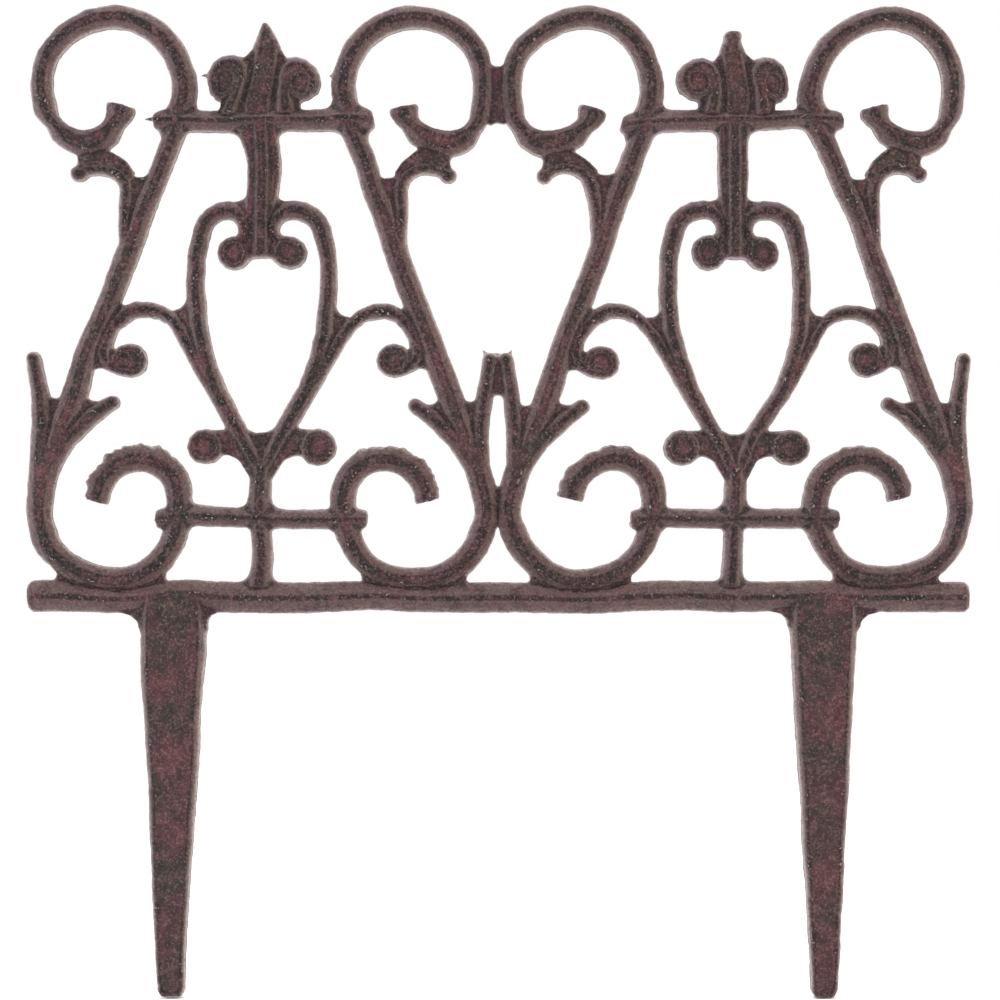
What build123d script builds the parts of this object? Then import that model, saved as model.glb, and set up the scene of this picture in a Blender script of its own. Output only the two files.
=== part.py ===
"""Cast iron garden border edging: one casting with two lyre-shaped bays on a rail, over two ground spikes.

Sizes are in millimetres. X runs along the edging, Z is up and Y is the casting's thickness.
The origin lies on the rail's flat underside, midway between the spikes, at the level of the ground.
Both faces carry the same relief, so the pattern is drawn about its parting plane, Y = 0.
A half bay is drawn right of its bay's axis, in points of (offset from the axis, level over the underside).
Bent bars are laid in short straight runs, as a pattern maker would build them up from segments.
"""

from build123d import *
import os
from math import acos, atan2, ceil, cos, degrees, hypot, radians, sin, tan

# Overall layout
bay_pitch = 153.0
rail_length = 305.0
rail_height = 10.0
rail_depth = 9.8
rail_crown = 1.4
rail_end_bevel = 1.5

# Casting details shared by all members
parting_land = 2.6
widest_land_share = 0.6
crown_share = 0.34
chord_error = 0.24
widest_segment = 28.0
embed = 1.2
web_depth = 3.2
web_sag_share = 0.14

# Ground spikes
spike_offset = 105.8
spike_length = 124.3
spike_root_width = 22.2
spike_tip_width = 8.8
spike_root_depth = 9.2
spike_tip_depth = 5.6
spike_draft = 0.67
spike_tip_bevel = 2.0
spike_nose_share = 0.72
spike_root_fillet = 6.2
spike_fillet_depth = 4.4

# Horizontal bars of a bay
cross_bar_level = 30.5
cross_bar_height = 6.5
cross_bar_depth = 8.6
cross_bar_length = 68.0
top_bar_level = 159.6
top_bar_height = 7.4
top_bar_depth = 9.0
top_bar_length = 70.8
bar_crown = 1.2

# Lower scroll: a small curl that opens into a large ring sunk into the rail's top
lower_ring_offset = 49.6
lower_ring_radius = 23.5
lower_ring_sink = 2.9
lower_curl_radius = 13.3
lower_curl_angle = 167.0
lower_scroll_width = 8.4
lower_curl_tip_angle = 4.5
lower_scroll_depth = 8.2

# Upper scroll: a large open loop that closes in a smaller curl
upper_loop_offset = 48.5
upper_loop_rise = 11.1
upper_loop_radius = 22.4
upper_loop_foot_angle = 203.0
upper_curl_radius = 11.8
upper_curl_angle = -30.0
upper_curl_tip_angle = -180.0
upper_scroll_width = 7.7
upper_scroll_tip_width = 9.4
upper_scroll_depth = 8.0

# Slanting stile from the top bar down to the root of the leaf bundle
stile_top_offset = 26.8
stile_top_width = 6.9
stile_foot = (65.9, 57.5)
stile_foot_width = 8.6
stile_depth = 7.6

# Leaves of the bundle: stations of (offset, level, width) above their common root on the lower ring
free_leaf = ((72.2, 46.0, 7.2), (71.6, 60.0, 6.8), (72.4, 72.0, 5.8), (74.0, 82.0, 5.0))
joint_leaf = ((70.7, 45.0, 6.2), (70.9, 60.0, 5.8), (72.2, 71.0, 5.4), (74.0, 82.0, 5.0))
inner_leaf = ((70.4, 45.0, 7.4), (63.4, 56.0, 6.8), (55.0, 63.6, 5.6), (49.6, 67.2, 5.0))
leaf_depth = 7.0

# Upper leaf, which leaves the stile and curls under the upper scroll
upper_leaf_offset = 44.5
upper_leaf_foot = (51.6, 97.0)
upper_leaf_root_level = 116.0
upper_leaf_shoulder_level = 136.0
upper_leaf_radius = 8.8
upper_leaf_end_angle = 46.0
upper_leaf_width = 4.7
upper_leaf_depth = 6.4
upper_leaf_knob_radius = 2.9
upper_leaf_shoulder = (
    (58.0, 146.4), (56.0, 151.0), (49.2, 150.8), (44.4, 146.4), (42.2, 142.6), (43.6, 138.6),
)
upper_leaf_shoulder_depth = 4.8

# Urn in the middle of the bay, drawn upwards from its foot on the axis
urn_foot_level = 46.3
urn_foot_angle = 31.5
urn_foot_run = 18.2
urn_side_radius = 83.0
urn_neck_radius = 75.5
urn_neck_angle = 14.5
urn_shoulder_radius = 8.4
urn_hook_radius = 6.1
urn_hook_turn = 125.0
urn_hook_tip_width = 4.0
urn_width = 6.1
urn_depth = 6.8
urn_eye_radius = 5.6
urn_eye_offset = 8.8
urn_eye_drop = 13.9

# Volutes beside the urn's foot
foot_volute_offset = 18.3
foot_volute_rise = 7.4
foot_volute_radius = 6.0
foot_neck_rise = 1.5
foot_neck_width = 8.2
foot_neck_depth = 4.4

# Arch between the stile and the urn, closed by a volute
arch_offset = 37.4
arch_level = 85.4
arch_radius = 12.6
arch_leg_angle = 28.5
arch_leg_length = 35.0
arch_hook_radius = 7.2
arch_hook_tip_width = 3.2
arch_width = 4.9
arch_depth = 6.0
arch_eye_radius = 5.7
arch_eye_offset = 42.6
arch_eye_drop = 3.6

# Posts and stem on the axis
post_lower_width = 6.4
post_upper_width = 7.4
post_head_rise = 2.0
post_depth = 8.0
stem_width = 10.7
stem_depth = 5.6
stem_crown = 8.8
stem_rib_width = 5.4
stem_rib_depth = 8.4
stem_rib_crown = 3.2
stem_foot_level = 115.2

# Finial over the top bar: a pointed petal between two side petals that curl outwards, on a thin plate
finial_tip_level = 190.2
finial_tip_size = (1.6, 2.6, 0.6)
finial_shoulder_level = 180.0
finial_petal_size = (9.6, 7.2, 4.8)
finial_plate_half_width = 12.2
finial_plate_depth = 4.4
side_petal_foot_offset = 7.9
side_petal_foot_width = 8.0
side_petal_offset = 11.4
side_petal_level = 172.7
side_petal_radius = 4.8
side_petal_width = 5.2
side_petal_depth = 8.8
side_petal_end_angle = -30.0
side_petal_eye = (12.3, 171.8)
side_petal_eye_radius = 5.8

# Volute eyes and rounded bar ends
eye_sides = 12
eye_rim_share = 0.2
eye_dish_share = 0.66
eye_dish = 0.7
knob_sides = 10
knob_rim_share = 0.4

# Corner fillets
post_foot_fillet = 2.4
post_head_fillet = 3.4
stem_head_fillet = 3.2
stile_head_fillet = 2.6
scroll_fillet = 2.4
ring_edge_overlap = 0.8
loop_edge_overlap = 0.4
small_fillet = 1.3

# Crotches filled with thin webs: the deep point, then both ends of the open edge
stile_leaf_crotch = ((41.3, 128.9), (43.6, 141.8), (36.6, 141.8))
curl_right_crotch = ((49.0, 149.0), (60.5, 150.8), (60.5, 144.6))
arch_urn_crotch = ((20.3, 85.1), (28.4, 98.0), (24.4, 101.4))
outer_leaf_crotch = ((67.0, 56.0), (70.8, 69.6), (64.7, 69.6))
inner_leaf_crotch = ((60.5, 59.4), (58.0, 70.2), (53.2, 67.6))
ring_right_crotch = ((60.0, 8.4), (66.4, 13.9), (67.2, 8.8))
ring_left_crotch = ((38.0, 8.4), (32.6, 13.6), (32.0, 8.8))
arch_hook_crotch = ((51.5, 84.0), (53.0, 79.2), (46.0, 77.4))
urn_eye_low_crotch = ((4.0, 121.0), (8.4, 111.0), (-1.5, 114.6))
urn_eye_high_crotch = ((5.0, 128.0), (4.6, 135.2), (10.4, 133.4))
foot_scroll_crotch = ((6.0, 54.0), (11.8, 51.6), (1.6, 41.0))
half_bay_crotches = (
    stile_leaf_crotch, curl_right_crotch, arch_urn_crotch, outer_leaf_crotch, inner_leaf_crotch,
    ring_right_crotch, ring_left_crotch, arch_hook_crotch, urn_eye_low_crotch, urn_eye_high_crotch,
)
urn_foot_crotch = ((0, urn_foot_level), (-6.0, 60.2), (6.0, 60.2))

# Webs between the bays: half width, lowest level and highest level
upper_loop_joint = (3.2, 159.2, 177.2)
leaf_tip_joint = (2.6, 70.6, 83.8)
leaf_tip_joint_depth = 4.2
lower_ring_joint = (4.2, 26.0, 42.2)

rail_top = rail_height
top_bar_underside = top_bar_level - top_bar_height / 2
top_bar_top = top_bar_level + top_bar_height / 2
cross_bar_underside = cross_bar_level - cross_bar_height / 2
cross_bar_top = cross_bar_level + cross_bar_height / 2


def polar(centre, radius, angle):
    """Point (x, z) at a radius and an angle in degrees from a centre in the panel's plane."""
    return (centre[0] + radius * cos(radians(angle)), centre[1] + radius * sin(radians(angle)))


def heading(start, end):
    """Heading in degrees from one point (x, z) to another."""
    return degrees(atan2(end[1] - start[1], end[0] - start[0]))


lower_ring = (lower_ring_offset, rail_top - lower_ring_sink + lower_ring_radius + lower_scroll_width / 2)
lower_curl = polar(lower_ring, lower_ring_radius - lower_curl_radius, lower_curl_angle)
upper_loop = (upper_loop_offset, top_bar_level + upper_loop_rise)
upper_curl = polar(upper_loop, upper_loop_radius - upper_curl_radius, upper_curl_angle)
leaf_root = (lower_ring[0] + lower_ring_radius, lower_ring[1])
stile_top = (stile_top_offset, top_bar_level)
stile_lean = heading(stile_top, stile_foot)
foot_volute = (foot_volute_offset, urn_foot_level + foot_volute_rise)
arch_centre = (arch_offset, arch_level)
arch_eye = (arch_eye_offset, arch_level - arch_eye_drop)


def section(width, depth, crown=None):
    """Octagonal section of a cast bar: a parting land at each side, two drafts and a crown on each face."""
    side, half = width / 2, depth / 2
    face = (width * crown_share if crown is None else crown) / 2
    land = min(parting_land, depth * widest_land_share) / 2
    return Polygon(
        (-side, -land), (-face, -half), (face, -half), (side, -land),
        (side, land), (face, half), (-face, half), (-side, land),
        align=None,
    )


def across(point, angle):
    """Plane across a bar at a point (x, z) where it runs at an angle in degrees."""
    dx, dz = cos(radians(angle)), sin(radians(angle))
    return Plane(origin=(point[0], 0, point[1]), x_dir=(dz, 0, -dx), z_dir=(dx, 0, dz))


def straight_bar(start, end, size):
    """Straight bar of one (width, depth, crown) between two points."""
    run = hypot(end[0] - start[0], end[1] - start[1])
    return extrude(across(start, heading(start, end)) * section(*size), run)


def tapered_bar(stations):
    """Bar in straight runs through stations of (point, size), each set square to the line past it."""
    faces = []
    for index, (point, size) in enumerate(stations):
        before = stations[max(index - 1, 0)][0]
        after = stations[min(index + 1, len(stations) - 1)][0]
        faces.append(across(point, heading(before, after)) * section(*size))
    return loft(faces, ruled=True)


def arc_points(centre, radius, start_angle, end_angle, width):
    """Points along an arc, close enough for a bar of this width to stay true to the curve."""
    step = 2 * degrees(acos(1 - chord_error / (radius + width / 2)))
    steps = max(1, ceil(abs(end_angle - start_angle) / min(step, widest_segment)))
    turn = (end_angle - start_angle) / steps
    return [polar(centre, radius, start_angle + index * turn) for index in range(steps + 1)]


def bent_bar(points, size):
    """Bar of one (width, depth) swept through points, mitred at bends and run on a little at both ends."""
    start = polar(points[0], embed, heading(points[1], points[0]))
    end = polar(points[-1], embed, heading(points[-2], points[-1]))
    path = Polyline(*[(x, 0, z) for x, z in [start] + points[1:-1] + [end]])
    return sweep(across(start, heading(start, points[1])) * section(*size), path, transition=Transition.RIGHT)


def swelling_arc(centre, radius, start_angle, end_angle, widths, depth):
    """Bent bar whose width changes evenly along an arc."""
    points = arc_points(centre, radius, start_angle, end_angle, max(widths))
    last = len(points) - 1
    stations = []
    for index, point in enumerate(points):
        width = widths[0] + (widths[1] - widths[0]) * index / last
        stations.append((point, (width, depth)))
    return tapered_bar(stations)


def disc(centre, sides, radius, depth, rim=0):
    """Many-sided disc centred on the parting plane, with a drafted rim of a given width on each face."""
    half = depth / 2
    plane = Plane(origin=(centre[0], half, centre[1]), x_dir=(1, 0, 0), z_dir=(0, -1, 0))
    body = extrude(plane * RegularPolygon(radius, sides), depth)
    for end in (0, -1) if rim else ():
        face = body.faces().sort_by(Axis.Y)[end]
        body = chamfer(face.edges(), rim, half - parting_land / 2, reference=face)
    return body


def eye(centre, radius, depth):
    """Volute eye: a disc with a drafted rim and a sunk floor on each face."""
    body = disc(centre, eye_sides, radius, depth, radius * eye_rim_share)
    dish = disc(centre, eye_sides, radius * eye_dish_share, eye_dish)
    travel = (depth - eye_dish) / 2
    return body - [Pos(0, -travel, 0) * dish, Pos(0, travel, 0) * dish]


def knob(centre, radius, depth):
    """Rounded end of a bar: a disc with a drafted rim."""
    return disc(centre, knob_sides, radius, depth, radius * knob_rim_share)


def plate(points, depth):
    """Flat plate with a polygonal outline, centred on the parting plane."""
    return extrude(Plane.XZ * Polygon(*points, align=None), depth / 2, both=True)


def hollow(start, end, deep):
    """Middle points of a web's open edge, drawn towards its deep point."""
    sag = web_sag_share * hypot(end[0] - start[0], end[1] - start[1])
    points = []
    for share in (1 / 3, 2 / 3):
        point = (start[0] + share * (end[0] - start[0]), start[1] + share * (end[1] - start[1]))
        points.append(polar(point, sag, heading(point, deep)))
    return points


def web(deep, start, end, depth=web_depth):
    """Thin filling in a crotch, from a deep point inside it to an open edge with a hollow meniscus."""
    return plate([deep, start] + hollow(start, end, deep) + [end], depth)


def waist_web(half_width, low, high, depth=web_depth):
    """Web between two members that stand side by side, hollow at its foot and its head."""
    middle = (0, (low + high) / 2)
    foot = (-half_width, low), (half_width, low)
    head = (half_width, high), (-half_width, high)
    outline = [foot[0]] + hollow(*foot, middle) + [foot[1], head[0]] + hollow(*head, middle) + [head[1]]
    return plate(outline, depth)


def corner(apex, first, second, radius, depth=web_depth):
    """Fillet web in the corner at apex between edges that leave it at two angles in degrees."""
    turn = (second - first + 180) % 360 - 180
    half_turn = radians(abs(turn) / 2)
    bisector = first + turn / 2
    centre = polar(apex, radius / sin(half_turn), bisector)
    start, end = polar(apex, radius / tan(half_turn), first), polar(apex, radius / tan(half_turn), second)
    sweep_angle = (heading(centre, end) - heading(centre, start) + 180) % 360 - 180
    edge = [polar(centre, radius, heading(centre, start) + share * sweep_angle) for share in (1 / 3, 2 / 3)]
    return plate([polar(apex, -embed, bisector), start] + edge + [end], depth)


def stile_edge(level, side):
    """Offset of the stile's edge at a level; side is -1 towards the axis and 1 away from it."""
    centre = stile_top[0] + (stile_top[1] - level) / tan(radians(-stile_lean))
    return centre + side * stile_top_width / 2 / sin(radians(-stile_lean))


def lower_scroll():
    turn = (lower_curl_tip_angle, lower_curl_angle)
    curl = arc_points(lower_curl, lower_curl_radius, *turn, lower_scroll_width)
    ring = arc_points(lower_ring, lower_ring_radius, lower_curl_angle, 360, lower_scroll_width)
    return [bent_bar(curl + ring[1:], (lower_scroll_width, lower_scroll_depth))]


def upper_scroll():
    widths = (upper_scroll_width, upper_scroll_tip_width)
    turn = (upper_loop_foot_angle, upper_curl_angle)
    curl_turn = (upper_curl_angle, upper_curl_tip_angle)
    loop = arc_points(upper_loop, upper_loop_radius, *turn, upper_scroll_width)
    return [
        bent_bar(loop, (upper_scroll_width, upper_scroll_depth)),
        swelling_arc(upper_curl, upper_curl_radius, *curl_turn, widths, upper_scroll_depth),
    ]


def leaf_bundle(outer_leaf):
    """Stile and two leaves, which grow from one root where the lower ring ends."""
    root = (leaf_root, (lower_scroll_width, lower_scroll_depth))
    stile = [
        (stile_top, (stile_top_width, stile_depth)),
        (stile_foot, (stile_foot_width, stile_depth)),
        (inner_leaf[0][:2], (stile_foot_width, stile_depth)),
        root,
    ]
    pieces = [tapered_bar(stile)]
    for leaf in (outer_leaf, inner_leaf):
        pieces.append(tapered_bar([root] + [((x, z), (width, leaf_depth)) for x, z, width in leaf]))
        x, z, width = leaf[-1]
        pieces.append(knob((x, z), width / 2, leaf_depth))
    return pieces


def upper_leaf():
    size = (upper_leaf_width, upper_leaf_depth)
    centre = (upper_leaf_offset + upper_leaf_radius, upper_leaf_shoulder_level)
    curl = arc_points(centre, upper_leaf_radius, 180, upper_leaf_end_angle, upper_leaf_width)
    root = (upper_leaf_offset, upper_leaf_root_level)
    return [
        bent_bar([upper_leaf_foot, root] + curl, size),
        plate(upper_leaf_shoulder, upper_leaf_shoulder_depth),
        knob(curl[-1], upper_leaf_knob_radius, upper_leaf_depth),
    ]


def urn_half():
    """Side of the urn from its foot, over the shoulder, down to the hooked volute at its middle."""
    size = (urn_width, urn_depth)
    foot = (0, urn_foot_level)
    bend = polar(foot, urn_foot_run, 90 - urn_foot_angle)
    side = polar(bend, -urn_side_radius, -urn_foot_angle)
    belly = polar(side, urn_side_radius, 0)
    neck = polar(belly, -urn_neck_radius, 0)
    shoulder = polar(neck, urn_neck_radius - urn_shoulder_radius, urn_neck_angle)
    crest = polar(shoulder, urn_shoulder_radius, 90)
    hook = (crest[0], crest[1] - urn_hook_radius)
    path = [foot]
    path += arc_points(side, urn_side_radius, -urn_foot_angle, 0, urn_width)
    path += arc_points(neck, urn_neck_radius, 0, urn_neck_angle, urn_width)[1:]
    path += arc_points(shoulder, urn_shoulder_radius, urn_neck_angle, 90, urn_width)[1:]
    hook_widths = (urn_width, urn_hook_tip_width)
    return [
        bent_bar(path, size),
        swelling_arc(hook, urn_hook_radius, 90, 90 + urn_hook_turn, hook_widths, urn_depth),
        eye((urn_eye_offset, crest[1] - urn_eye_drop), urn_eye_radius, urn_depth),
    ]


def arch():
    """Arch from the urn's foot up to the stile, with its hook and volute."""
    hip_angle = 180 - arch_leg_angle
    curve = arc_points(arch_centre, arch_radius, hip_angle, 0, arch_width)
    foot = polar(curve[0], arch_leg_length, 270 - arch_leg_angle)
    hook = (arch_offset + arch_radius - arch_hook_radius, arch_level)
    return [
        bent_bar([foot] + curve, (arch_width, arch_depth)),
        swelling_arc(hook, arch_hook_radius, 0, -90, (arch_width, arch_hook_tip_width), arch_depth),
        eye(arch_eye, arch_eye_radius, arch_depth),
    ]


def foot_scroll():
    """Volute beside the urn's foot, on a thin neck."""
    level = foot_volute[1] + foot_neck_rise
    start, end = (foot_neck_width / 2, level), (foot_volute[0], level)
    neck = straight_bar(start, end, (foot_neck_width, foot_neck_depth))
    return [eye(foot_volute, foot_volute_radius, urn_depth), neck]


def half_bay_webs():
    """Thin fillings in the crotches between the members of half a bay."""
    return [web(*outline) for outline in half_bay_crotches] + [web(*foot_scroll_crotch, foot_neck_depth)]


def half_bay_corners():
    """Rounded corners between the bars, the posts, the stem and the scrolls of half a bay."""
    ring_edge = lower_ring[0] - lower_ring_radius - lower_scroll_width / 2 + ring_edge_overlap
    loop_edge = upper_loop[0] - upper_loop_radius - upper_scroll_width / 2 + loop_edge_overlap
    inner, outer = stile_edge(top_bar_underside, -1), stile_edge(top_bar_underside, 1)
    return [
        corner((post_upper_width / 2, cross_bar_top), 90, 0, post_head_fillet),
        corner((post_lower_width / 2, cross_bar_underside), 0, -90, small_fillet),
        corner((post_lower_width / 2, rail_top), 90, 0, post_foot_fillet),
        corner((stem_width / 2, top_bar_underside), 0, -90, stem_head_fillet),
        corner((ring_edge, cross_bar_top), 180, 90, scroll_fillet),
        corner((ring_edge, cross_bar_underside), 270, 180, small_fillet),
        corner((loop_edge, top_bar_top), 180, 90, scroll_fillet),
        corner((inner, top_bar_underside), 180, stile_lean, stile_head_fillet),
        corner((outer, top_bar_underside), 0, stile_lean, small_fillet),
    ]


def half_bay(outer_leaf):
    pieces = lower_scroll() + upper_scroll() + leaf_bundle(outer_leaf) + upper_leaf()
    pieces += urn_half() + arch() + foot_scroll() + half_bay_webs() + half_bay_corners()
    return pieces


def level_bar(level, length, size):
    """Horizontal bar of one size, centred on the axis."""
    return straight_bar((-length / 2, level), (length / 2, level), size)


def axis_members():
    """Bars, posts and stem on a bay's axis, and the web in the urn's foot."""
    post_head = (0, urn_foot_level + post_head_rise)
    stem_foot, stem_head = (0, stem_foot_level), (0, top_bar_level)
    return [
        level_bar(cross_bar_level, cross_bar_length, (cross_bar_height, cross_bar_depth, bar_crown)),
        level_bar(top_bar_level, top_bar_length, (top_bar_height, top_bar_depth, bar_crown)),
        straight_bar((0, rail_top - embed), (0, cross_bar_level), (post_lower_width, post_depth)),
        straight_bar((0, cross_bar_level), post_head, (post_upper_width, post_depth)),
        straight_bar(stem_foot, stem_head, (stem_width, stem_depth, stem_crown)),
        straight_bar(stem_foot, stem_head, (stem_rib_width, stem_rib_depth, stem_rib_crown)),
        web(*urn_foot_crotch),
    ]


def side_petal():
    """Petal beside the middle one, which rises from the top bar, curls outwards and ends in an eye."""
    centre = (side_petal_offset, side_petal_level)
    size = (side_petal_width, side_petal_depth)
    curl = arc_points(centre, side_petal_radius, 180, side_petal_end_angle, side_petal_width)
    foot = (side_petal_foot_offset, top_bar_top - embed)
    return [
        tapered_bar([(foot, (side_petal_foot_width, side_petal_depth)), (curl[0], size)]),
        bent_bar(curl, size),
        eye(side_petal_eye, side_petal_eye_radius, side_petal_depth),
    ]


def finial():
    """Fleur-de-lis over the top bar: a pointed petal between two side petals, on a thin plate."""
    foot, shoulder = (0, top_bar_top - embed), (0, finial_shoulder_level)
    right = [
        (finial_plate_half_width, foot[1]),
        (finial_plate_half_width, side_petal_level),
        (finial_petal_size[0] / 2, finial_shoulder_level),
    ]
    left = [(-x, z) for x, z in reversed(right)]
    tip = (0, finial_tip_level)
    runs = [(foot, finial_petal_size), (shoulder, finial_petal_size), (tip, finial_tip_size)]
    pieces = [plate(right + left, finial_plate_depth), tapered_bar(runs)]
    for piece in side_petal():
        pieces += [piece, mirror(piece, Plane.YZ)]
    return pieces


def bay(left_leaf, right_leaf):
    """Pieces of one bay, with its own outer leaf on each side."""
    left = [mirror(piece, Plane.YZ) for piece in half_bay(left_leaf)]
    return left + half_bay(right_leaf) + axis_members() + finial()


def between_bays():
    """Webs that join the two bays: at the upper loops, at the leaf tips and at the lower rings."""
    return [
        waist_web(*upper_loop_joint),
        waist_web(*leaf_tip_joint, leaf_tip_joint_depth),
        waist_web(*lower_ring_joint),
    ]


def rail():
    """Rail with a crowned face and drafted ends."""
    half, level = rail_length / 2, rail_height / 2
    full = (rail_height, rail_depth, rail_crown)
    end = (rail_height - 2 * rail_end_bevel, rail_depth - 2 * rail_end_bevel, rail_crown)
    return tapered_bar([
        ((-half, level), end),
        ((-half + rail_end_bevel, level), full),
        ((half - rail_end_bevel, level), full),
        ((half, level), end),
    ])


def spike_size(width, depth):
    """Size (width, depth, crown) of a spike whose drafts have one slope all the way down."""
    return (width, depth, width - spike_draft * (depth - parting_land))


def spike():
    """Tapering ground spike with drafted edges, a blunt nose and fillets at its root."""
    root = spike_size(spike_root_width, spike_root_depth)
    tip = spike_size(spike_tip_width, spike_tip_depth)
    nose = spike_size(spike_tip_width * spike_nose_share, spike_tip_depth * spike_nose_share)
    shoulder = (0, spike_tip_bevel - spike_length)
    half = spike_root_width / 2
    top, underside, end = (0, rail_height / 2), (0, 0), (0, -spike_length)
    return [
        tapered_bar([(top, root), (underside, root), (shoulder, tip), (end, nose)]),
        corner((half, 0), 270, 0, spike_root_fillet, spike_fillet_depth),
        corner((-half, 0), 180, 270, spike_root_fillet, spike_fillet_depth),
    ]


def casting():
    left = Pos(-bay_pitch / 2, 0, 0) * (Part() + bay(free_leaf, joint_leaf))
    spikes = [Pos(x, 0, 0) * piece for x in (-spike_offset, spike_offset) for piece in spike()]
    return Part() + [rail(), left, mirror(left, Plane.YZ)] + between_bays() + spikes


if __name__ == "__main__":
    os.makedirs("parts", exist_ok=True)
    export_step(casting(), "parts/edging_panel.step")
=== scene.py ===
import math

import bmesh
import bpy
import numpy as np
from mathutils import Matrix, Vector, noise


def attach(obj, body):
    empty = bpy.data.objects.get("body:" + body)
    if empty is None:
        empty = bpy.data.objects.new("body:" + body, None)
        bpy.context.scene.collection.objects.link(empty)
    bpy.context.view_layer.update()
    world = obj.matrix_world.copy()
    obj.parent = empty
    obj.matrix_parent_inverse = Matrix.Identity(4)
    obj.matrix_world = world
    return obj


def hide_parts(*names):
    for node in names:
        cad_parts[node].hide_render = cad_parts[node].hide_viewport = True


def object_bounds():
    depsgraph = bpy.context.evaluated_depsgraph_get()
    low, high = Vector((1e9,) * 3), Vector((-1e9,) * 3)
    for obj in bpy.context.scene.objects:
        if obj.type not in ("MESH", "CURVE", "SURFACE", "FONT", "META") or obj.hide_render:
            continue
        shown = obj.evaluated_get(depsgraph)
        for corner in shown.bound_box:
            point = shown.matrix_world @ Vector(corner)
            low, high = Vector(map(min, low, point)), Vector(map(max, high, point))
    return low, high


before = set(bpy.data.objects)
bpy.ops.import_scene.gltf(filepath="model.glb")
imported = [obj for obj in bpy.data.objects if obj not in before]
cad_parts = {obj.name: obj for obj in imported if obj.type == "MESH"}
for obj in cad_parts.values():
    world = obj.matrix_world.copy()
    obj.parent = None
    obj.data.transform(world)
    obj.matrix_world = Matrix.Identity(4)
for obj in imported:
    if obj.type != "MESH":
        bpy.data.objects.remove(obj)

bl_info = {
    "name": "Cast iron garden border edging",
    "version": (1, 0, 0),
    "blender": (4, 5, 0),
    "location": "3D View > Sidebar > Edging",
    "description": "Cast surface, iron paint and studio for a panel of garden border edging",
    "category": "Object",
}

# The panel stands upright: X runs along it, Z is up, and its front face looks towards -Y.
# All sizes below are in millimetres, and one function turns them to metres.
cad_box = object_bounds()
NODE = "edging_panel"
# Where the middle line of each bay stands
BAY_AXES = (-76.5, 76.5)


def mm(value):
    """Millimetres to metres."""
    return value / 1000


def in_mm(value):
    """Metres to millimetres."""
    return value * 1000


def place(x, y, z):
    """A point given in millimetres."""
    return Vector((mm(x), mm(y), mm(z)))


def linear(text):
    """sRGB hex text to a linear colour."""
    channels = [int(text[index:index + 2], 16) / 255 for index in (0, 2, 4)]
    return [c / 12.92 if c <= 0.04045 else ((c + 0.055) / 1.055) ** 2.4 for c in channels] + [1.0]


class EdgingCasting(bpy.types.PropertyGroup):
    """Sizes of the cast surface."""
    cell: bpy.props.FloatProperty(
        name="Surface cell", description="Side of one facet of the cast skin", default=0.00054,
        unit="LENGTH")
    softening: bpy.props.IntProperty(
        name="Softening", description="Rounds of smoothing that soften the pattern's edges", default=4, min=0)
    waviness: bpy.props.FloatProperty(
        name="Waviness", description="Height of the slow waves left by a hand-cut pattern", default=0.00042,
        unit="LENGTH")
    lumps: bpy.props.FloatProperty(
        name="Lumps", description="Height of the lumps left by the sand mould", default=0.00020, unit="LENGTH")
    grain: bpy.props.FloatProperty(
        name="Grain", description="Height of the sand grain itself", default=0.00010, unit="LENGTH")


class EdgingFinish(bpy.types.PropertyGroup):
    """Colours of the iron's paint and of the light and shade painted into it."""
    paint: bpy.props.FloatVectorProperty(
        name="Paint", description="Main brown of the paint", subtype="COLOR", size=4, default=linear("2F2221"))
    rust: bpy.props.FloatVectorProperty(
        name="Rust tint", description="Reddish brown of rust under the paint", subtype="COLOR", size=4,
        default=linear("4C2A2E"))
    blush: bpy.props.FloatVectorProperty(
        name="Blush", description="Pinkish brown of dry rust dust on the flats", subtype="COLOR", size=4,
        default=linear("664244"))
    # Painted light: the lighter brown painted on the drafts for the light they catch from the sides
    draft_light: bpy.props.FloatVectorProperty(
        name="Draft", description="Dusty brown of the drafts, where the paint is thin", subtype="COLOR", size=4,
        default=linear("513C3C"))
    olive: bpy.props.FloatVectorProperty(
        name="Olive tint", description="Greenish brown where the paint is thick", subtype="COLOR", size=4,
        default=linear("2B2820"))
    # Near black of pits, and the painted shade on crowns, ridges and creases
    pits_and_shade: bpy.props.FloatVectorProperty(
        name="Dark", description="Near black of pits, creases and bare skin", subtype="COLOR", size=4,
        default=linear("0D080A"))
    # Grey of worn specks in the grain, and the painted highlight on steep rims and drafts
    worn_and_highlight: bpy.props.FloatVectorProperty(
        name="Worn edge", description="Grey of worn edges and drafts", subtype="COLOR", size=4,
        default=linear("9E918D"))
    # Painted glints: light grey specks that stand in for the gloss on the ridges
    glint_speck: bpy.props.FloatVectorProperty(
        name="Bare speck", description="Light grey of specks of bare metal", subtype="COLOR", size=4,
        default=linear("C9BDB8"))
    roughness: bpy.props.FloatProperty(
        name="Roughness", description="Roughness of the dull paint", default=0.52, min=0, max=1,
        subtype="FACTOR")


class EdgingStudio(bpy.types.PropertyGroup):
    """Floor, lights and camera."""
    floor: bpy.props.FloatVectorProperty(
        name="Floor", description="Pale floor colour", subtype="COLOR", size=4, default=linear("FFFFFF"))
    distance: bpy.props.FloatProperty(
        name="Camera distance", description="From the camera to the panel", default=0.85, unit="LENGTH")
    view_width: bpy.props.FloatProperty(
        name="View width", description="Width of the view at the panel", default=0.3242, unit="LENGTH")
    view_centre: bpy.props.FloatVectorProperty(
        name="View centre", description="Point of the panel in the middle of the view",
        default=(0.0005, 0.0, 0.0365), subtype="XYZ")


# Vertices of the frame's loose triangles that lie this close together are one
WELD_DISTANCE = 0.002


def merged_copy(node):
    """A bmesh copy of a CAD node, with its loose triangles merged."""
    bm = bmesh.new()
    bm.from_mesh(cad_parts[node].data)
    bmesh.ops.remove_doubles(bm, verts=bm.verts, dist=mm(WELD_DISTANCE))
    return bm


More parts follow.
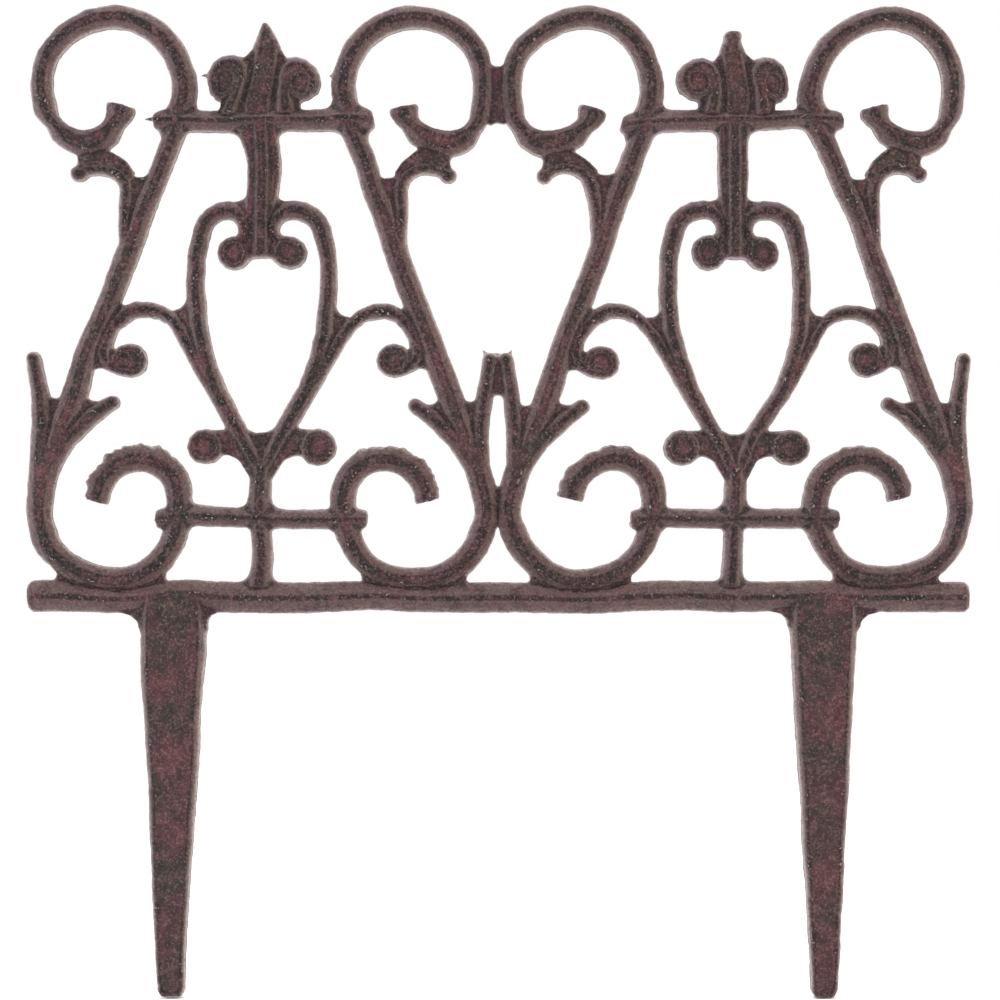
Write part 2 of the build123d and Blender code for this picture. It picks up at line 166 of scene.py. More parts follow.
# Nibs that a gate, a vent or the flash left standing, and metal that ran under the bar ends:
# foot (x, z), angle in degrees, length, width and thickness, in millimetres
NIBS = (
    (-93.0, 174.4, 177, 4.4, 2.2, 2.2),
    (-3.0, 81.4, 114, 4.4, 2.8, 4.0),
    (2.6, 81.4, 66, 4.4, 2.8, 4.0),
    (-0.2, 77.4, 90, 7.0, 8.0, 4.0),
    (-52.8, 174.8, 180, 3.2, 1.9, 2.0),
    (-108.8, 160.2, 180, 6.0, 5.4, 3.4),
    (-108.3, 159.0, 282, 12.0, 6.4, 4.6),
    (44.6, 159.5, 279, 12.5, 7.0, 4.8),
    (-44.2, 158.6, 262, 8.0, 5.0, 4.4),
    (-131.6, 39.2, 222, 2.9, 2.4, 3.0),
    (-127.0, 38.6, 290, 2.9, 2.2, 3.0),
    (-108.6, 31.0, 200, 2.8, 4.4, 4.0),
    (-44.6, 31.8, 10, 2.6, 4.2, 4.0),
    (44.4, 29.6, 205, 2.8, 4.6, 4.0),
    (108.4, 31.2, 350, 2.8, 4.4, 4.0),
)


def nib(bm, x, z, angle, length, width, thickness):
    """A pointed nib of metal in the panel's middle plane."""
    turn = Matrix.Rotation(math.radians(90 - angle), 4, "Y")
    size = Matrix.Diagonal((width / 2, thickness / 2, length, 1))
    bmesh.ops.create_cone(
        bm, cap_ends=True, segments=10, radius1=1, radius2=0.2, depth=1,
        matrix=Matrix.Translation(place(x, 0, z)) @ turn @ Matrix.Scale(mm(1), 4) @ size
        @ Matrix.Translation((0, 0, 0.5)))


def solid_skin(bm, cell, softening):
    """The mesh of one even skin over all shells of a bmesh."""
    mesh = bpy.data.meshes.new("skin")
    bm.to_mesh(mesh)
    carrier = bpy.data.objects.new("skin_carrier", mesh)
    bpy.context.scene.collection.objects.link(carrier)
    skin = carrier.modifiers.new("even_skin", "REMESH")
    skin.mode = "VOXEL"
    skin.voxel_size = cell
    soft = carrier.modifiers.new("soft_edges", "SMOOTH")
    soft.factor = 0.5
    soft.iterations = softening
    bpy.context.view_layer.update()
    evaluated = carrier.evaluated_get(bpy.context.evaluated_depsgraph_get())
    result = bpy.data.meshes.new_from_object(evaluated)
    bpy.data.objects.remove(carrier)
    bpy.data.meshes.remove(mesh)
    return result


# Scrolls whose chords are rounded to arcs: centre (x, z) on a bay's right half, radius, first and last angle,
# number of chords, and half width of the bar
SCROLL_ARCS = (
    (48.5, 170.7, 22.4, -30.0, 203.0, 16, 3.9),
    (57.7, 165.4, 11.8, -180.0, -30.0, 8, 4.4),
    (49.6, 34.8, 23.5, 167.0, 360.0, 13, 4.2),
    (39.7, 37.1, 13.3, 4.5, 167.0, 9, 4.2),
)

# How far past a scroll's bar its rounding reaches, and the angle in degrees over which it starts and ends
ARC_MARGIN = 0.8
ARC_FADE = 5

# Crinkled stretches: centre (x, z) on a bay's right half, range of radius, first and last angle, and height and
# length of a crinkle
CRINKLES = (
    ((39.6, 37.1), (14.5, 19.5), (-10, 130), 0.75, 3.8),
    ((49.6, 34.8), (24.0, 29.0), (180, 350), 0.30, 6.5),
    ((37.4, 85.4), (9.0, 13.0), (20, 150), 0.45, 4.2),
    ((48.5, 170.7), (23.0, 28.0), (-20, 200), 0.22, 7.0),
)

# How strongly each half bay is crinkled: bay's axis and half
CRINKLED_HALVES = {(-76.5, -1): 1.0, (-76.5, 1): 0.7, (76.5, -1): 0.6, (76.5, 1): 0.35}

# A crinkle reaches its full height over this angle in degrees and this much radius. A finer wave on it is
# shorter and lower by these factors
CRINKLE_FADE_ANGLE = 12
CRINKLE_FADE_RADIUS = 1.5
FINER_WAVE = 2.3
FINER_SHARE = 0.5

# Bar ends that the mould rounded off: middle height, half height, where the taper starts and where the bar
# ends, measured from a bay's axis, and the share of the height that is left at the end
BAR_ENDS = (
    (159.8, 3.7, 31.0, 35.6, 0.55),
    (30.5, 3.1, 30.5, 34.6, 0.70),
)

# Height above and below a bar over which the tapering dies out
BAR_END_FADE = 2.5

# Half width of a stem's core, the heights between which it stands, the widths over which it gives way to the
# nudges at its sides and its ends, and the share of a nudge that it holds off
STEM_CORE = 2.6
STEM_HEIGHTS = (108.0, 164.0)
STEM_SIDE_FADE = 2
STEM_END_FADE = 6
STEM_HOLD = 0.85

# The right bay's middle petal came out blunt: its axis, where it starts to differ, the share of its height that
# is left above that, and how much wider it gets there for each millimetre of height. That widening is doubled at
# the growth height, and the change reaches as far from the axis as the petal does
BLUNT_TIP = (76.5, 184.5, 0.64, 0.12)
BLUNT_GROWTH = 4
PETAL_REACH = 8

# How this casting departs from its drawn pattern, as if each stretch of the loose pattern had been nudged
# in the sand: centre (x, z), reach, and shift across and up, in millimetres
NUDGES = (
    (-36, 196, 25, 1.2, 0.0),
    (-76, 180, 7, 1.1, 2.7),
    (-8, 180, 7, 0.8, 0.6),
    (-144, 176, 7, -0.6, 0.6),
    (-60, 176, 7, 0.0, -1.8),
    (-96, 168, 7, 1.4, -0.7),
    (-48, 164, 7, -0.5, 0.9),
    (-28, 164, 7, -1.2, -0.3),
    (-84, 160, 7, -3.4, -0.5),
    (-132, 156, 7, -0.6, -2.2),
    (-16, 156, 10, 1.9, -2.2),
    (-44, 148, 7, 1.8, -1.5),
    (-124, 144, 7, 0.9, -0.6),
    (-76, 144, 7, 1.0, 0.5),
    (-116, 132, 7, 0.1, 1.3),
    (-32, 128, 7, 0.4, 2.6),
    (-72, 124, 7, -2.1, -0.4),
    (-124, 112, 10, 0.4, 1.7),
    (-64, 112, 7, 1.1, 0.8),
    (-132, 100, 7, 0.5, 1.4),
    (-36, 100, 7, -0.2, 0.8),
    (-56, 96, 10, -1.0, -2.7),
    (-128, 84, 7, -1.6, -0.7),
    (-28, 84, 7, 0.5, -0.5),
    (-124, 64, 7, 1.4, 1.0),
    (-68, 64, 7, -0.6, 1.0),
    (-148, 60, 10, 0.4, 1.5),
    (-72, 44, 10, -0.4, -1.1),
    (-8, 40, 25, -0.4, -0.4),
    (-124, 36, 15, -0.8, -1.0),
    (-100, 36, 7, -0.5, 1.9),
    (-24, 36, 10, 0.9, -0.7),
    (-148, 32, 7, 1.2, -0.8),
    (-80, 32, 7, -0.8, 0.5),
    (-124, 16, 7, 1.4, -0.3),
    (-36, 16, 7, -2.0, -0.7),
    (-20, 16, 7, 0.4, -0.7),
    (-144, 12, 7, -0.7, 0.7),
    (-112, 8, 10, 1.6, -0.1),
    (-64, 8, 10, 0.9, -0.2),
    (-84, 4, 7, -3.3, 0.1),
    (-104, 0, 7, -0.2, 2.2),
    (-40, 0, 7, 0.8, 0.7),
    (-96, -12, 7, 0.8, -1.1),
    (-100, -52, 10, 0.4, -0.4),
    (-108, -104, 15, -0.4, -0.2),
    (20, 196, 7, 0.9, -0.3),
    (116, 196, 10, 1.3, -0.6),
    (80, 180, 7, -1.2, 0.9),
    (8, 176, 7, -0.9, 1.5),
    (52, 176, 10, -0.9, -0.9),
    (100, 172, 7, -1.4, -3.3),
    (64, 168, 7, 0.8, -0.2),
    (84, 168, 7, 1.9, -1.4),
    (28, 164, 7, 2.3, 0.4),
    (124, 164, 7, -1.2, -1.0),
    (100, 160, 7, -1.9, 1.4),
    (20, 156, 15, -3.0, -2.5),
    (136, 156, 7, 1.7, -2.4),
    (44, 152, 7, -1.1, -0.7),
    (80, 148, 7, -1.0, 1.2),
    (112, 148, 7, 0.9, -1.2),
    (28, 140, 7, -1.4, 0.8),
    (36, 128, 10, 0.1, 3.9),
    (84, 128, 7, -2.1, -0.5),
    (68, 124, 7, 1.6, -0.1),
    (116, 124, 7, 0.5, 2.1),
    (96, 120, 7, 0.3, 0.7),
    (60, 116, 7, -0.7, 1.0),
    (124, 108, 7, 1.3, -0.7),
    (32, 104, 7, -0.5, 0.7),
    (56, 100, 7, -0.1, -3.4),
    (96, 96, 7, 0.4, -3.6),
    (112, 96, 7, -1.1, -0.6),
    (132, 92, 7, 0.1, 1.5),
    (28, 88, 7, -1.9, -1.0),
    (60, 84, 25, 0.6, -0.7),
    (92, 76, 7, 0.5, -0.8),
    (140, 76, 7, 1.1, -2.3),
    (8, 68, 7, 0.1, -1.6),
    (88, 60, 7, -1.6, -0.1),
    (132, 60, 7, 0.1, 0.9),
    (60, 56, 7, 1.4, 0.3),
    (28, 52, 7, 1.6, 0.2),
    (76, 48, 7, 0.2, -1.5),
    (116, 48, 10, 0.9, -0.6),
    (148, 44, 7, 0.0, 2.0),
    (140, 24, 7, 0.8, -1.2),
    (40, 20, 7, 1.3, -0.8),
    (24, 16, 7, -0.7, -1.4),
    (116, 16, 7, -1.5, -0.6),
    (92, 12, 7, 1.1, -0.2),
    (60, 0, 15, -2.5, 0.5),
    (104, -8, 10, -0.9, 1.6),
    (96, -36, 10, -0.7, 0.3),
    (100, -76, 25, -0.4, -1.0),
)


def bay_side(x):
    """The axis of the bay that a place in millimetres belongs to, and 1 or -1 for its right or left half."""
    axis = min(BAY_AXES, key=lambda middle: abs(x - middle))
    return axis, 1 if x >= axis else -1


def arc_shift(x, z):
    """Shift (x, z) in millimetres that rounds the chords of a scroll to an arc."""
    axis, side = bay_side(x)
    u = (x - axis) * side
    for cu, cz, radius, first, last, chords, half in SCROLL_ARCS:
        du, dz = u - cu, z - cz
        reach = math.hypot(du, dz)
        angle = (math.degrees(math.atan2(dz, du)) - first) % 360 + first
        if abs(reach - radius) > half + ARC_MARGIN or angle > last:
            continue
        turn = (last - first) / chords
        phase = math.radians((angle - first) % turn - turn / 2)
        flat = radius * (1 - math.cos(math.radians(turn / 2)))
        fade = min(1.0, (angle - first) / ARC_FADE, (last - angle) / ARC_FADE)
        growth = fade * (flat - reach * (1 - math.cos(phase))) / reach
        return growth * du * side, growth * dz
    return 0.0, 0.0


def crinkle_shift(x, z):
    """Shift (x, z) in millimetres that roughens the rims of scrolls and arches."""
    axis, side = bay_side(x)
    u = (x - axis) * side
    shift_u = shift_z = 0.0
    for (cu, cz), (low, high), (start, end), height, length in CRINKLES:
        du, dz = u - cu, z - cz
        radius = math.hypot(du, dz)
        if not low < radius < high:
            continue
        angle = math.degrees(math.atan2(dz, du))
        if angle < start:
            angle += 360
        if not start < angle < end:
            continue
        fade = min(1.0, (angle - start) / CRINKLE_FADE_ANGLE, (end - angle) / CRINKLE_FADE_ANGLE,
                   (radius - low) / CRINKLE_FADE_RADIUS)
        along = math.radians(angle) * radius / length
        # The bay, the half and the centre each take the noise from another place, so no two rims match
        wave = noise.noise(Vector((along, axis * 0.37 + side * 5, cz)))
        wave += FINER_SHARE * noise.noise(Vector((along * FINER_WAVE, axis * 0.37 + side * 9, cz)))
        depth = 2 * fade * height * wave * CRINKLED_HALVES[axis, side]
        shift_u += depth * du / radius
        shift_z += depth * dz / radius
    return shift_u * side, shift_z


def bar_end_shift(x, z):
    """Shift in z, in millimetres, that tapers the ends of the level bars."""
    axis, side = bay_side(x)
    u = (x - axis) * side
    for middle, half, start, end, left in BAR_ENDS:
        off = z - middle
        if start < u and abs(off) < half + BAR_END_FADE:
            amount = min(1.0, (u - start) / (end - start)) ** 2
            hold = min(1.0, (half + BAR_END_FADE - abs(off)) / BAR_END_FADE)
            return -off * (1 - left) * amount * hold
    return 0.0


def blunt_tip_shift(x, z):
    """Shift (x, z) in millimetres that makes the tip of the right bay's middle petal blunt."""
    middle, start, left, widening = BLUNT_TIP
    off, over = x - middle, z - start
    if over < 0 or abs(off) > PETAL_REACH:
        return 0.0, 0.0
    return off * widening * over * (1 + over / BLUNT_GROWTH), -over * (1 - left)


def nudge_shifts(points):
    """Shifts across and up, in millimetres, of points in millimetres."""
    shifts = np.zeros((len(points), 2))
    for x, z, reach, across, up in NUDGES:
        near = np.exp(-((points[:, 0] - x) ** 2 + (points[:, 2] - z) ** 2) / (2 * reach ** 2))
        shifts += near[:, None] * (across, up)
    # The core of each upright stem stays nearly straight
    low, high = STEM_HEIGHTS
    inside = np.clip(np.minimum(points[:, 2] - low, high - points[:, 2]) / STEM_END_FADE, 0, 1)
    for axis in BAY_AXES:
        edge = STEM_CORE + STEM_SIDE_FADE
        core = np.clip((edge - np.abs(points[:, 0] - axis)) / STEM_SIDE_FADE, 0, 1)
        shifts[:, 0] *= 1 - STEM_HOLD * inside * core
    return shifts


# Length of the slow waves and size of the lumps and the grain, and how much of the waves reaches the thickness.
# The real grain is about 0.3 mm: it is drawn at 1.3 mm, as fine as the skin's cells can carry
WAVE_LENGTH = 17
WAVE_DEPTH_SHARE = 0.3
LUMP_SIZE = 3.4
GRAIN_SIZE = 1.3

# Blender seeds its noise vectors by the clock. A fixed seed gives the same slow waves in every run
WAVE_SEED = 7


def roughened(mesh, settings):
    """Shifts the vertices of the skin as the loose pattern and the sand mould did.

    The nudges, slow waves, lumps, grain and crinkled rims come with the rounded scrolls, the tapered bar ends
    and the blunt petal.
    """
    points, normals, _ = read_skin(mesh)
    points = in_mm(points)
    shifts = nudge_shifts(points)
    noise.seed_set(WAVE_SEED)
    waves, lumps, grain = in_mm(settings.waviness), in_mm(settings.lumps), in_mm(settings.grain)
    for index, (point, normal) in enumerate(zip(points, normals)):
        spot = Vector(point)
        slow = noise.noise_vector(spot / WAVE_LENGTH)
        height = lumps * noise.noise(spot / LUMP_SIZE) + grain * noise.noise(spot / GRAIN_SIZE)
        across, up = crinkle_shift(point[0], point[2])
        up += bar_end_shift(point[0], point[2])
        aside, down = blunt_tip_shift(point[0], point[2])
        outwards = arc_shift(point[0], point[2])
        across += outwards[0]
        up += outwards[1]
        points[index] += (
            slow.x * waves + height * normal[0] + across + aside + shifts[index, 0],
            slow.y * waves * WAVE_DEPTH_SHARE + height * normal[1],
            slow.z * waves + height * normal[2] + up + down + shifts[index, 1])
    mesh.vertices.foreach_set("co", mm(points).ravel())
    mesh.update()


# Rounds of smoothing that set the scale of the relief, fine and broad, and that even out how far the skin faces
# forward
FINE_ROUNDS = 6
BROAD_ROUNDS = 40
FACING_ROUNDS = 3


def smoothed_away(values, edges, rounds):
    """What a number of rounds of smoothing over the skin takes off some values of its vertices."""
    count = len(values)
    first, second = edges[:, 0], edges[:, 1]
    links = np.bincount(first, minlength=count) + np.bincount(second, minlength=count)
    smooth = values.copy()
    for _ in range(rounds):
        for axis in range(values.shape[1]):
            column = smooth[:, axis]
            around = np.bincount(first, column[second], count) + np.bincount(second, column[first], count)
            smooth[:, axis] = 0.5 * column + 0.5 * around / links
    return values - smooth


def read_skin(mesh):
    """Vertex points, vertex normals and edges of a mesh as arrays."""
    points = np.empty(len(mesh.vertices) * 3)
    mesh.vertices.foreach_get("co", points)
    normals = np.empty(len(mesh.vertices) * 3)
    mesh.vertex_normals.foreach_get("vector", normals)
    edges = np.empty(len(mesh.edges) * 2, dtype=np.int32)
    mesh.edges.foreach_get("vertices", edges)
    return points.reshape(-1, 3), normals.reshape(-1, 3), edges.reshape(-1, 2)


def mark_form(mesh):
    """Writes on each vertex what the paint and its painted light and shade follow.

    That is how far the skin faces the front or the back, and its fine and broad relief in millimetres.
    """
    points, normals, edges = read_skin(mesh)
    facing = np.abs(normals[:, 1])
    forms = (
        ("facing", facing - smoothed_away(facing[:, None], edges, FACING_ROUNDS)[:, 0]),
        ("fine_relief", in_mm((smoothed_away(points, edges, FINE_ROUNDS) * normals).sum(axis=1))),
        ("broad_relief", in_mm((smoothed_away(points, edges, BROAD_ROUNDS) * normals).sum(axis=1))),
    )
    for name, values in forms:
        layer = mesh.attributes.new(name, "FLOAT", "POINT")
        layer.data.foreach_set("value", values)


def with_normals(mesh):
    """A smooth bmesh of the skin whose vertices carry its normals."""
    layer = mesh.attributes.new("skin_normal", "FLOAT_VECTOR", "POINT")
    layer.data.foreach_set("vector", read_skin(mesh)[1].ravel())
    bm = bmesh.new()
    bm.from_mesh(mesh)
    for face in bm.faces:
        face.smooth = True
    return bm


# Distance from a cutting plane, in metres, at which a vertex counts as on it
CUT_TOLERANCE = 1e-7


def cut(bm, point, normal):
    """Cuts a bmesh by a plane, closes the cut flat and keeps the side that the normal points away from."""
    geometry = bm.verts[:] + bm.edges[:] + bm.faces[:]
    result = bmesh.ops.bisect_plane(
        bm, geom=geometry, dist=CUT_TOLERANCE, plane_co=point, plane_no=normal, clear_outer=True)
    edges = [item for item in result["geom_cut"] if isinstance(item, bmesh.types.BMEdge)]
    for face in bmesh.ops.holes_fill(bm, edges=edges, sides=0)["faces"]:
        face.smooth = False


def keep_normals(mesh):
    """Shades the skin by the normals it had before it was cut, and the cuts flat, so that no cut shows."""
    normals = np.empty(len(mesh.vertices) * 3)
    mesh.attributes["skin_normal"].data.foreach_get("vector", normals)
    corners = np.empty(len(mesh.loops), dtype=np.int32)
    mesh.loops.foreach_get("vertex_index", corners)
    normals = normals.reshape(-1, 3)[corners]
    normals /= np.linalg.norm(normals, axis=1)[:, None]
    for face in mesh.polygons:
        if not face.use_smooth:
            normals[list(face.loop_indices)] = 0
    mesh.normals_split_custom_set(normals.tolist())
    mesh.attributes.remove(mesh.attributes["skin_normal"])


# The one casting is shown as five pieces that meet at flat cuts, which keeps each mesh under 200,000 triangles:
# name, lowest x, highest x, lowest z and highest z (None where the casting ends)
STRETCHES = (
    ("rail_and_spikes", None, None, None, 11.6),
    ("left_bay_foot", None, 0.0, 11.6, 92.0),
    ("right_bay_foot", 0.0, None, 11.6, 92.0),
    ("left_bay_head", None, 0.0, 92.0, None),
    ("right_bay_head", 0.0, None, 92.0, None),
)


def stretch(whole, name, west, east, low, high):
    """One stretch of the casting as an object."""
    bm = whole.copy()
    for limit, normal in ((west, (-1, 0, 0)), (east, (1, 0, 0))):
        if limit is not None:
            cut(bm, place(limit, 0, 0), Vector(normal))
    for limit, normal in ((low, (0, 0, -1)), (high, (0, 0, 1))):
        if limit is not None:
            cut(bm, place(0, 0, limit), Vector(normal))
    mesh = bpy.data.meshes.new(name)
    bm.to_mesh(mesh)
    bm.free()
    keep_normals(mesh)
    piece = bpy.data.objects.new(name, mesh)
    bpy.context.scene.collection.objects.link(piece)
    return piece


def add(tree, kind, settings=None, links=None):
    """Adds a node with its settings (attributes or inputs) and its links from other sockets."""
    node = tree.nodes.new(kind)
    for key, value in (settings or {}).items():
        if isinstance(key, str) and hasattr(node, key):
            setattr(node, key, value)
        else:
            node.inputs[key].default_value = value
    for key, source in (links or {}).items():
        tree.links.new(source, node.inputs[key])
    return node


# Patterns of the paint: size in millimetres of one lump, detail, roughness and shift in metres.
# The real sand grain is about 0.3 mm: the grit is drawn at 0.75 mm so that it shows
PATTERNS = {
    "clouds": (13.0, 3, 0.55, 0.0),
    "patches": (4.0, 4, 0.60, 0.3),
    "specks": (1.5, 3, 0.60, 0.7),
    "grit": (0.75, 2, 0.60, 1.1),
}

# Layers of the paint and of the light and shade painted into it, from the bottom up: tint, its greatest share,
# and the sources that it follows, each with the value where the tint starts and the value where it is full
LAYERS = (
    ("rust", 0.80, (("clouds", 0.42, 0.64),)),
    ("olive", 0.50, (("clouds", 0.48, 0.32),)),
    ("rust", 0.40, (("broad_relief", -0.08, -0.30),)),
    ("rust", 0.50, (("specks", 0.52, 0.68),)),
    # Painted light: the drafts, which turn from the front, are painted a lighter brown
    ("draft_light", 0.80, (("facing", 0.95, 0.77),)),
    # Painted light: the drafts near the middle plane are painted grey
    ("worn_and_highlight", 0.24, (("depth", 3.3, 1.2), ("facing", 0.93, 0.80), ("specks", 0.35, 0.55))),
    ("pits_and_shade", 0.40, (("patches", 0.50, 0.66),)),
    # Painted shade: the crowns of the broad relief that face the front or back are painted near black
    ("pits_and_shade", 0.80, (("broad_relief", 0.20, 0.32), ("facing", 0.88, 0.97), ("specks", 0.70, 0.46))),
    # Painted shade: the fine ridges are painted dark
    ("pits_and_shade", 0.50, (("fine_relief", 0.035, 0.065), ("specks", 0.62, 0.42))),
    # Painted shade: the creases are painted dark
    ("pits_and_shade", 0.70, (("fine_relief", -0.02, -0.06),)),
    ("blush", 0.36, (("patches", 0.50, 0.40), ("facing", 0.88, 0.97), ("specks", 0.40, 0.55))),
    # Painted highlight: the steep rims near the middle plane are painted light grey, broken by the grit
    ("worn_and_highlight", 0.74, (("facing", 0.73, 0.45), ("facing", 0.04, 0.26), ("depth", 2.6, 1.6),
                    ("grit", 0.15, 0.45))),
    # Painted light: the steep sides are painted slightly greyer
    ("worn_and_highlight", 0.16, (("facing", 0.70, 0.42),)),
    # Painted glints: light grey specks on the fine ridges
    ("glint_speck", 0.30, (("fine_relief", 0.03, 0.06), ("grit", 0.57, 0.64), ("patches", 0.56, 0.62))),
    ("pits_and_shade", 0.34, (("grit", 0.47, 0.36),)),
    # Real wear: grey specks in the sand grain
    ("worn_and_highlight", 0.13, (("grit", 0.54, 0.66),)),
)


# Height of the grain in the paint, and how far its roughness falls and rises in patches
PAINT_GRAIN = 0.25
ROUGHNESS_BELOW = 0.1
ROUGHNESS_ABOVE = 0.16


def iron_paint(finish):
    """Dull brown paint over sand-cast grey iron.

    Brushed paint pools in the sand's grain, so the eye sees a mottled brown that is near black in pits, reddish
    in sheltered webs and flecked grey where rubbed. Painted shade makes it near black along the crowns, ridges
    and creases;
    painted light makes the drafts lighter and the steep rims grey, and painted glints fleck the ridges light
    grey.
    """
    material = bpy.data.materials.new("brown_paint_on_cast_iron")
    material.use_nodes = True
    tree = material.node_tree
    tree.nodes.clear()
    sources = {}
    place_of = add(tree, "ShaderNodeTexCoord").outputs["Object"]
    for name, (size, detail, rough, shift) in PATTERNS.items():
        spot = add(tree, "ShaderNodeMapping", {"Location": (shift, shift, shift)}, {"Vector": place_of})
        pattern = add(tree, "ShaderNodeTexNoise", {"Scale": 1 / mm(size), "Detail": detail, "Roughness": rough},
                      {"Vector": spot.outputs["Vector"]})
        sources[name] = pattern.outputs["Fac"]
    for name in ("facing", "fine_relief", "broad_relief"):
        sources[name] = add(tree, "ShaderNodeAttribute", {"attribute_name": name}).outputs["Fac"]
    # Depth is the distance from the casting's middle plane in millimetres
    scaled = add(tree, "ShaderNodeMapping", {"Scale": (0, in_mm(1), 0)}, {"Vector": place_of})
    sources["depth"] = add(tree, "ShaderNodeVectorMath", {"operation": "LENGTH"},
                           {0: scaled.outputs["Vector"]}).outputs["Value"]
    under = None
    for tint, most, steps in LAYERS:
        share = None
        for source, start, full in steps:
            links = {"Value": sources[source]}
            if share is not None:
                links["To Max"] = share
            share = add(tree, "ShaderNodeMapRange", {"From Min": start, "From Max": full, "To Max": most},
                        links).outputs["Result"]
        links = {0: share} if under is None else {0: share, 6: under}
        layer = add(tree, "ShaderNodeMix",
                    {"data_type": "RGBA", 6: finish.paint, 7: getattr(finish, tint)}, links)
        under = layer.outputs[2]

    height = add(tree, "ShaderNodeMath", {"operation": "MULTIPLY_ADD", 1: 0.5},
                 {0: sources["grit"], 2: sources["specks"]})
    bump = add(tree, "ShaderNodeBump", {"Strength": 0.9, "Distance": mm(PAINT_GRAIN)},
               {"Height": height.outputs[0]})
    rough = add(tree, "ShaderNodeMapRange", {
        "From Min": 0.3, "From Max": 0.7,
        "To Min": finish.roughness - ROUGHNESS_BELOW, "To Max": finish.roughness + ROUGHNESS_ABOVE},
        {"Value": sources["patches"]})
    shader = add(tree, "ShaderNodeBsdfPrincipled", {"IOR": 1.5, "Specular IOR Level": 0.22}, {
        "Base Color": under, "Roughness": rough.outputs["Result"], "Normal": bump.outputs["Normal"]})
    add(tree, "ShaderNodeOutputMaterial", links={"Surface": shader.outputs["BSDF"]})
    return material


class EDGING_OT_casting(bpy.types.Operator):
    """Gives the frame's panel its sand-cast skin, nibs and paint"""
    bl_idname = "edging.casting"
    bl_label = "Casting"

    def execute(self, context):
        settings = context.scene.edging_casting
        bm = merged_copy(NODE)
        for row in NIBS:
            nib(bm, *row)
        skin = solid_skin(bm, settings.cell, settings.softening)
        bm.free()
        if not skin.polygons:
            raise RuntimeError("the cast skin came out empty")
        mark_form(skin)
        roughened(skin, settings)
        whole = with_normals(skin)
        bpy.data.meshes.remove(skin)
        paint = iron_paint(context.scene.edging_finish)
        for row in STRETCHES:
            piece = stretch(whole, *row)
            piece.data.materials.append(paint)
            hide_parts(NODE)
            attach(piece, "root")
        whole.free()
        return {"FINISHED"}


def plain(name, colour, roughness):
    """A plain matt finish for the studio."""
    material = bpy.data.materials.new(name)
    material.use_nodes = True
    shader = material.node_tree.nodes["Principled BSDF"]
    shader.inputs["Base Color"].default_value = colour
    shader.inputs["Roughness"].default_value = roughness
    shader.inputs["Specular IOR Level"].default_value = 0.1
    return material


# Soft lights: name, place, side and power, in metres and watts, and colour. The light from the left is slightly
# cool and the one from the right slightly warm
LIGHTS = (
    ("soft_left", (-1.3, -0.30, 0.35), 0.8, 14, (0.88, 0.90, 1.0)),
    ("soft_right", (1.3, -0.30, 0.25), 0.8, 12, (1.0, 0.95, 0.82)),
    ("soft_top", (0.0, -0.25, 1.4), 0.9, 14, (1.0, 1.0, 1.0)),
)

# Point in metres that the lights look at
LIGHT_TARGET = (0, 0, 0.03)

# Radius of the round floor in metres, and how far it lies under the CAD model's lowest point in millimetres,
# which leaves room for the grain of the spikes' tips
FLOOR_RADIUS = 6.0
FLOOR_GAP = 0.6


def soft_light(name, spot, size, power, colour):
    """Adds a large square light that looks at the panel."""
    light = bpy.data.lights.new(name, "AREA")
    light.shape = "SQUARE"
    light.size = size
    light.energy = power
    light.color = colour
    lamp = bpy.data.objects.new(name, light)
    lamp.location = spot
    lamp.rotation_euler = (Vector(LIGHT_TARGET) - Vector(spot)).to_track_quat("-Z", "Y").to_euler()
    bpy.context.scene.collection.objects.link(lamp)


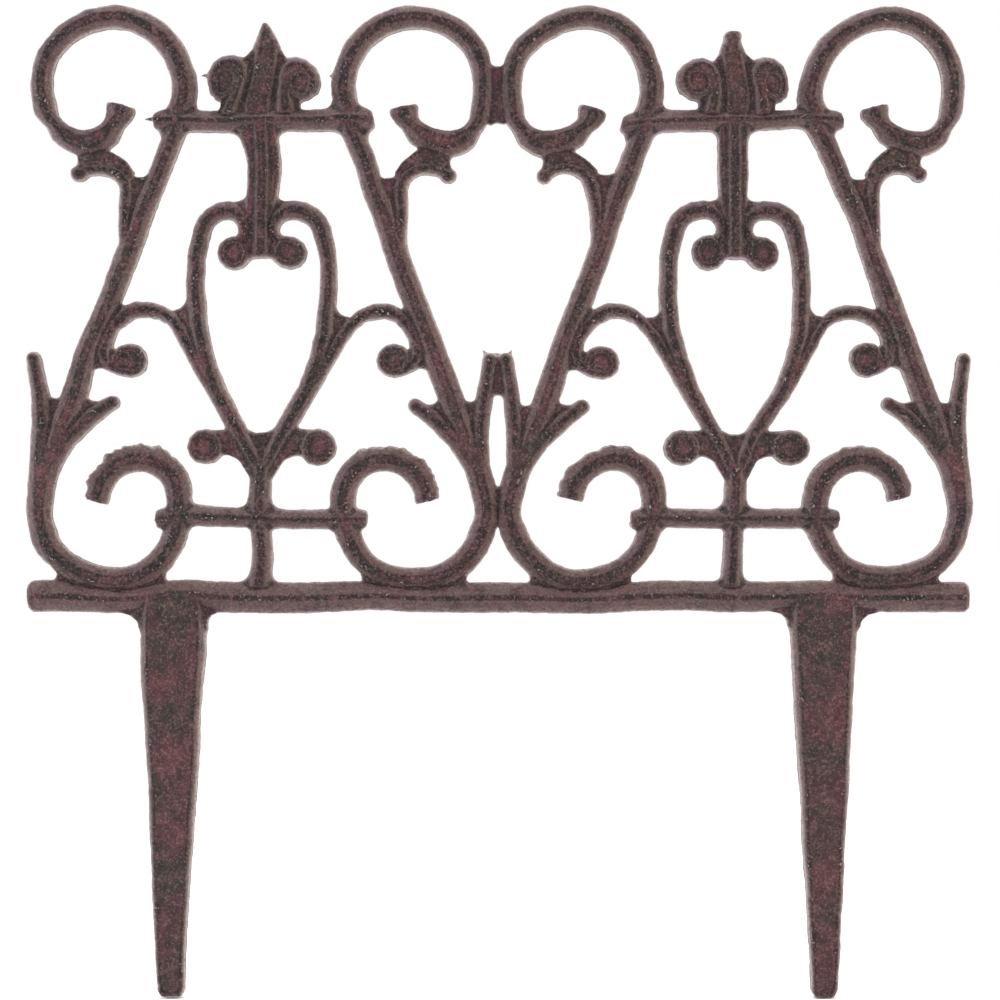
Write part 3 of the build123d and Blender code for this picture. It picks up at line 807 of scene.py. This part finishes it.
class EDGING_OT_stage(bpy.types.Operator):
    """Adds the pale floor, the soft lights and the camera"""
    bl_idname = "edging.stage"
    bl_label = "Stage"

    def execute(self, context):
        studio = context.scene.edging_studio
        bm = bmesh.new()
        lowest = Vector(cad_box[0]).z
        bmesh.ops.create_circle(bm, cap_ends=True, radius=FLOOR_RADIUS, segments=64,
                                matrix=Matrix.Translation((0, 0, lowest - mm(FLOOR_GAP))))
        mesh = bpy.data.meshes.new("floor")
        bm.to_mesh(mesh)
        bm.free()
        floor = bpy.data.objects.new("floor", mesh)
        mesh.materials.append(plain("pale_matt_paper", studio.floor, 0.9))
        context.scene.collection.objects.link(floor)

        world = bpy.data.worlds.new("pale_room")
        world.use_nodes = True
        world.node_tree.nodes["Background"].inputs["Color"].default_value = (1, 1, 1, 1)
        world.node_tree.nodes["Background"].inputs["Strength"].default_value = 1.0
        context.scene.world = world
        for row in LIGHTS:
            soft_light(*row)

        lens = bpy.data.cameras.new("camera")
        lens.lens = lens.sensor_width * studio.distance / studio.view_width
        lens.clip_start = 0.01
        lens.clip_end = 50
        camera = bpy.data.objects.new("camera", lens)
        centre = Vector(studio.view_centre)
        camera.location = centre - Vector((0, studio.distance, 0))
        camera.rotation_euler = (math.radians(90), 0, 0)
        context.scene.collection.objects.link(camera)
        context.scene.camera = camera
        context.scene.view_settings.view_transform = "Standard"
        return {"FINISHED"}


class EDGING_PT_panel(bpy.types.Panel):
    """Lists the steps that dress the edging"""
    bl_idname = "EDGING_PT_panel"
    bl_label = "Garden edging"
    bl_space_type = "VIEW_3D"
    bl_region_type = "UI"
    bl_category = "Edging"

    def draw(self, context):
        layout = self.layout
        for group in (context.scene.edging_casting, context.scene.edging_finish, context.scene.edging_studio):
            column = layout.column()
            for name in type(group).__annotations__:
                column.prop(group, name)
        layout.operator(EDGING_OT_casting.bl_idname)
        layout.operator(EDGING_OT_stage.bl_idname)


GROUPS = (("edging_casting", EdgingCasting), ("edging_finish", EdgingFinish), ("edging_studio", EdgingStudio))
CLASSES = (EDGING_OT_casting, EDGING_OT_stage, EDGING_PT_panel)


def register():
    for name, group in GROUPS:
        bpy.utils.register_class(group)
        setattr(bpy.types.Scene, name, bpy.props.PointerProperty(type=group))
    for cls in CLASSES:
        bpy.utils.register_class(cls)


def unregister():
    for cls in reversed(CLASSES):
        bpy.utils.unregister_class(cls)
    for name, group in reversed(GROUPS):
        delattr(bpy.types.Scene, name)
        bpy.utils.unregister_class(group)


def main():
    register()
    bpy.ops.edging.casting()
    bpy.ops.edging.stage()


if __name__ == "__main__":
    main()
